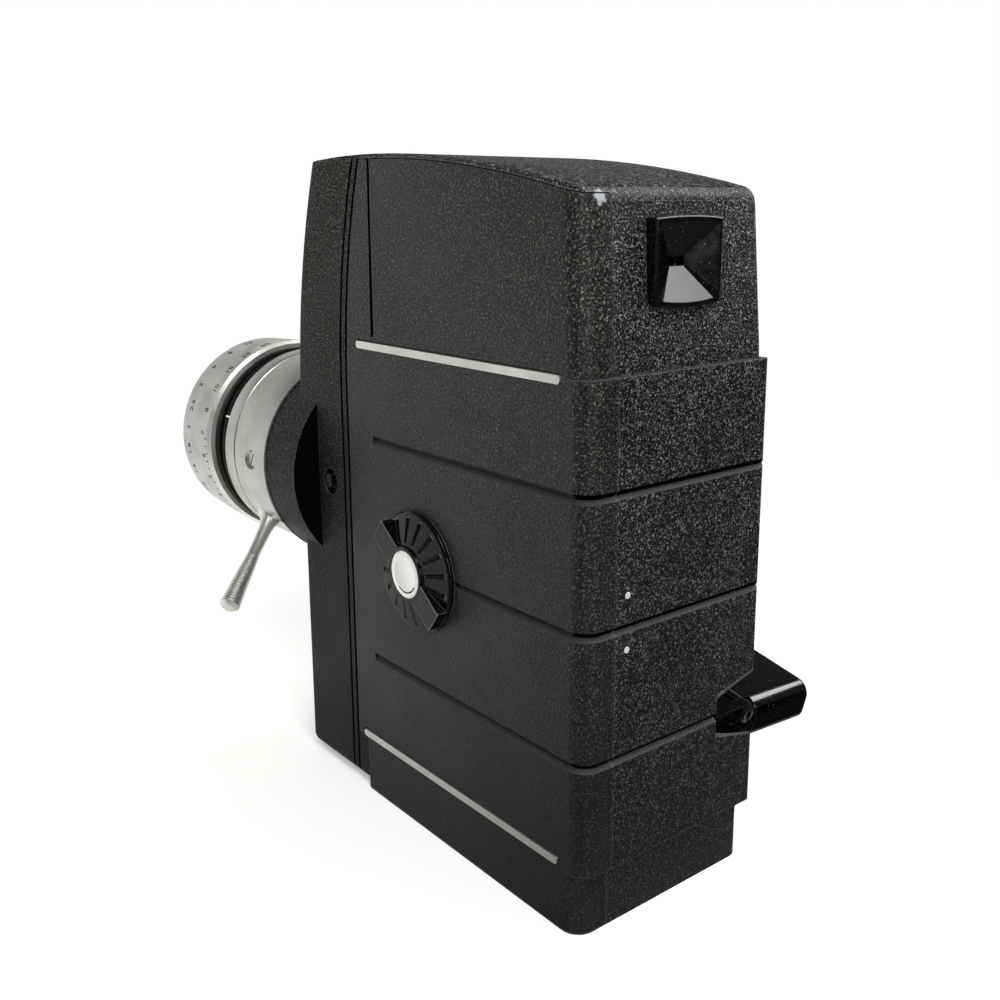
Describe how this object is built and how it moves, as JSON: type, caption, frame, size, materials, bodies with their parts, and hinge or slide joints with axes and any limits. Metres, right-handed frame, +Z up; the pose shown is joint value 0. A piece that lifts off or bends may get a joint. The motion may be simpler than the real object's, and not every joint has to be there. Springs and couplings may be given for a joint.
{
  "type": "spring-driven movie camera",
  "caption": "Upright spring-driven amateur film camera with a zoom lens, a lift-off side door, a folding winding key and a viewfinder at the top rear.",
  "frame": {"origin": "centre of the tripod socket's mouth in the lower face of the base", "axes": "+Z up through the body, -Y the way the lens looks, +X out of the film door, -X out of the winding key's side"},
  "size_m": [0.1094, 0.1887, 0.1753],
  "materials": {
    "crinkle_enamel": "black crinkle enamel, satin",
    "gloss_plastic": "polished black plastic",
    "white_plastic": "white, satin",
    "satin_aluminium": "turned and satin anodised",
    "nickel": "nickel plated",
    "black_metal": "black anodised or blackened",
    "optical_glass": "coated glass",
    "brass": "turned and cut",
    "steel": "machined steel"
  },
  "bodies": {
    "housing": {"main_housing": "crinkle_enamel", "front_housing": "crinkle_enamel", "side_screws": "black_metal", "shutter_brackets": "steel", "mechanism_plate": "steel", "plate_screws": "steel", "bearing_bridge": "steel", "plate_pillars": "steel", "film_guides": "steel", "film_gate": "black_metal", "plate_bracket": "steel", "counter_window": "optical_glass", "lens_tube": "black_metal", "silver_collar": "satin_aluminium", "index_ring": "black_metal", "rear_lens": "optical_glass", "iris_plate": "black_metal", "eyepiece_frame": "gloss_plastic", "eyepiece_lens": "optical_glass", "finder_tube": "black_metal", "finder_window": "optical_glass", "tripod_bush": "brass", "back_rivets": "steel", "leaf_spring": "steel"},
    "door": {"film_door": "crinkle_enamel", "trim_strips": "satin_aluminium", "bolt_cover": "steel", "bolt_guides": "steel"},
    "lock": {"lock_knob": "gloss_plastic", "knob_disc": "white_plastic", "latch_pinion": "brass"},
    "upper_bolt": {"upper_bolt": "steel"},
    "lower_bolt": {"lower_bolt": "steel"},
    "barrel": {"mainspring_barrel": "brass", "mainspring": "steel"},
    "second_arbor": {"second_wheel": "brass"},
    "third_arbor": {"third_wheel": "brass"},
    "shutter": {"shutter_shaft": "steel", "shutter_blade": "black_metal", "governor_weights": "brass"},
    "takeup": {"takeup_spindle": "steel", "takeup_spool": "black_metal"},
    "feed": {"feed_spindle": "steel"},
    "claw": {"claw": "steel"},
    "pressure": {"pressure_plate": "black_metal"},
    "counter": {"counter_dial": "white_plastic", "counter_feeler": "steel"},
    "zoom": {"zoom_ring": "satin_aluminium", "zoom_setscrew": "nickel", "zoom_lever": "nickel"},
    "zoom_group": {"zoom_cell": "black_metal", "zoom_lens": "optical_glass"},
    "focus": {"focus_ring": "satin_aluminium"},
    "front_group": {"front_cell": "black_metal", "front_lens": "optical_glass"},
    "key": {"key_hub": "steel", "key_pin": "steel", "winding_arbor": "steel"},
    "wing": {"key_wing": "gloss_plastic"},
    "release": {"run_button": "gloss_plastic"}
  },
  "joints": [
    {"name": "door_slide", "type": "slide", "parent": "housing", "child": "door", "axis": [1, 0, 0], "range_m": [0, 0.04]},
    {"name": "knob_turn", "type": "hinge", "parent": "door", "child": "lock", "pos_m": [0.029, 0.0002, 0.072], "axis": [-1, 0, 0], "range_deg": [0, 90]},
    {"name": "upper_bolt_slide", "type": "slide", "parent": "door", "child": "upper_bolt", "axis": [0, 0, -1], "range_m": [0, 0.0048]},
    {"name": "lower_bolt_slide", "type": "slide", "parent": "door", "child": "lower_bolt", "axis": [0, 0, 1], "range_m": [0, 0.0048]},
    {"name": "barrel_spin", "type": "hinge", "parent": "housing", "child": "barrel", "pos_m": [-0.009, 0.0415, 0.042], "axis": [1, 0, 0], "continuous": true},
    {"name": "second_spin", "type": "hinge", "parent": "housing", "child": "second_arbor", "pos_m": [-0.005, 0.0268, 0.05943], "axis": [1, 0, 0], "continuous": true},
    {"name": "third_spin", "type": "hinge", "parent": "housing", "child": "third_arbor", "pos_m": [-0.005, 0.01658, 0.078], "axis": [1, 0, 0], "continuous": true},
    {"name": "shutter_spin", "type": "hinge", "parent": "housing", "child": "shutter", "pos_m": [-0.0065, -0.02, 0.078], "axis": [0, 1, 0], "continuous": true},
    {"name": "takeup_spin", "type": "hinge", "parent": "housing", "child": "takeup", "pos_m": [0.005, 0.032, 0.046], "axis": [1, 0, 0], "continuous": true},
    {"name": "feed_spin", "type": "hinge", "parent": "housing", "child": "feed", "pos_m": [0.005, 0.032, 0.1], "axis": [1, 0, 0], "continuous": true},
    {"name": "claw_slide", "type": "slide", "parent": "housing", "child": "claw", "axis": [0, 0, 1], "range_m": [0, 0.0038]},
    {"name": "pressure_slide", "type": "slide", "parent": "housing", "child": "pressure", "axis": [0, 1, 0], "range_m": [0, 0.003], "stiffness_N_per_m": 150, "springref_m": -0.002},
    {"name": "counter_swing", "type": "hinge", "parent": "housing", "child": "counter", "pos_m": [0, 0.008, 0.113], "axis": [1, 0, 0], "range_deg": [0, 36], "stiffness_Nm_per_rad": 0.004, "springref_deg": -20.05},
    {"name": "zoom_turn", "type": "hinge", "parent": "housing", "child": "zoom", "pos_m": [0.0063, -0.0777, 0.0876], "axis": [0, -1, 0], "range_deg": [-15, 75]},
    {"name": "zoom_group_slide", "type": "slide", "parent": "housing", "child": "zoom_group", "axis": [0, -1, 0], "range_m": [-0.0008, 0.004]},
    {"name": "focus_turn", "type": "hinge", "parent": "housing", "child": "focus", "pos_m": [0.0063, -0.115, 0.0876], "axis": [0, -1, 0], "range_deg": [-100, 100]},
    {"name": "front_group_slide", "type": "slide", "parent": "housing", "child": "front_group", "axis": [0, -1, 0], "range_m": [-0.0011, 0.0011]},
    {"name": "key_wind", "type": "hinge", "parent": "housing", "child": "key", "pos_m": [-0.02, 0.0415, 0.042], "axis": [1, 0, 0], "continuous": true},
    {"name": "wing_fold", "type": "hinge", "parent": "key", "child": "wing", "pos_m": [-0.0282, 0.0415, 0.042], "axis": [0, 0.9781, -0.2079], "range_deg": [0, 72]},
    {"name": "run_press", "type": "slide", "parent": "housing", "child": "release", "axis": [0, 1, 0], "range_m": [0, 0.003], "stiffness_N_per_m": 300, "springref_m": -0.003}
  ],
  "couplings": [
    {"joint": "upper_bolt_slide", "follows": "knob_turn", "m_per_rad": 0.003},
    {"joint": "lower_bolt_slide", "follows": "knob_turn", "m_per_rad": 0.003},
    {"joint": "second_spin", "follows": "barrel_spin", "ratio": -2.8},
    {"joint": "third_spin", "follows": "barrel_spin", "ratio": 7.0933},
    {"joint": "shutter_spin", "follows": "barrel_spin", "ratio": 21.28},
    {"joint": "takeup_spin", "follows": "barrel_spin", "ratio": 2},
    {"joint": "zoom_group_slide", "follows": "zoom_turn", "m_per_rad": 0.003},
    {"joint": "front_group_slide", "follows": "focus_turn", "m_per_rad": 0.0006}
  ]
}
